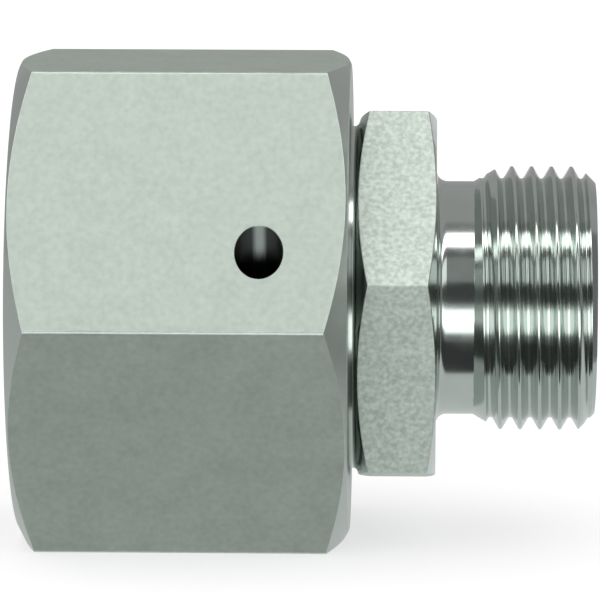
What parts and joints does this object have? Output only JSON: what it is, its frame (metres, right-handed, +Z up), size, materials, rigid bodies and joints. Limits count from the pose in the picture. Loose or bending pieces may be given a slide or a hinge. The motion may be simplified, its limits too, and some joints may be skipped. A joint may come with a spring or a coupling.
{
  "type": "reducing coupling",
  "caption": "Straight hydraulic reducing coupling: a hexagon swivel nut over a sealing cone and O-ring at the large end, a hexagon and a threaded stud with a tube socket at the small end.",
  "frame": {"origin": "on the flow axis, at the middle of the coupling's length", "axes": "+X along the flow axis from the swivel nut to the male stud, +Z up with the nut lying on one of its flats"},
  "size_m": [0.0434, 0.0416, 0.036],
  "materials": {
    "body_steel": "turned stainless steel, satin, with a fine grain from finishing",
    "nut_steel": "drawn stainless hexagon bar, satin, turned at the ends and in the bore",
    "wire_steel": "drawn stainless wire, smooth",
    "seal_rubber": "moulded black rubber, slightly glossy"
  },
  "bodies": {
    "coupling": {"coupling_body": "body_steel", "retaining_wire": "wire_steel", "o_ring": "seal_rubber"},
    "nut": {"swivel_nut": "nut_steel"}
  },
  "joints": [
    {"name": "nut_swivel", "type": "hinge", "parent": "coupling", "child": "nut", "pos_m": [-0.00315, 0, 0], "axis": [1, 0, 0], "continuous": true}
  ]
}
